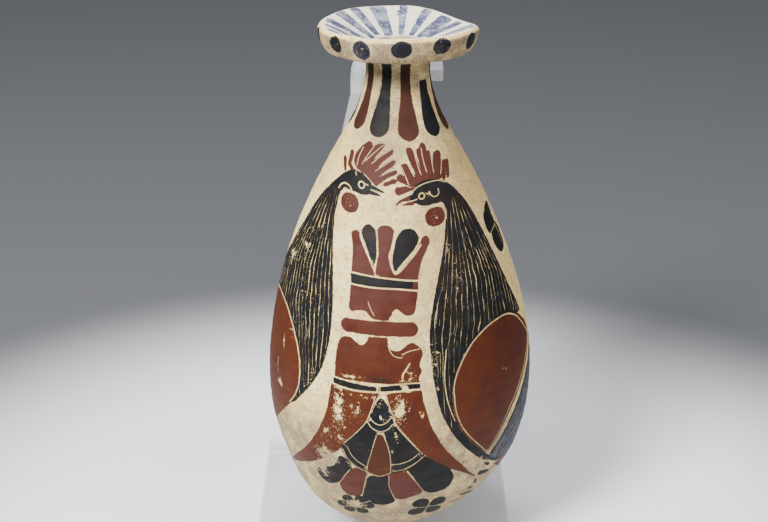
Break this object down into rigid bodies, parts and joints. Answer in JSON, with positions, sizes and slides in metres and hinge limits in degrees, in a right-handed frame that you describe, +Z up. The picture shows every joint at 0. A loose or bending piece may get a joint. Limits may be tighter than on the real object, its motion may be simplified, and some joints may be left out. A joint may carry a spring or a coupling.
{
  "type": "painted ceramic oil bottle in a clear stand",
  "caption": "Pear-shaped ceramic oil bottle with a broad mouth plate and lug handle, painted with confronted birds and flowers, held upright by a clear stand.",
  "frame": {"origin": "middle of the stand foot's underside", "axes": "+Z up, +X to the right of the painted front, +Y towards the back, where the handle and the stand's back plate are"},
  "size_m": [0.1149, 0.128, 0.2233],
  "materials": {
    "painted_clay": "burnished pale clay with dark slip and purple-red paint, worn",
    "clear_acrylic": "polished clear sheet"
  },
  "bodies": {
    "root": {"painted_bottle": "painted_clay", "stand_foot": "clear_acrylic", "stand_back": "clear_acrylic", "neck_collar": "clear_acrylic"}
  },
  "joints": []
}
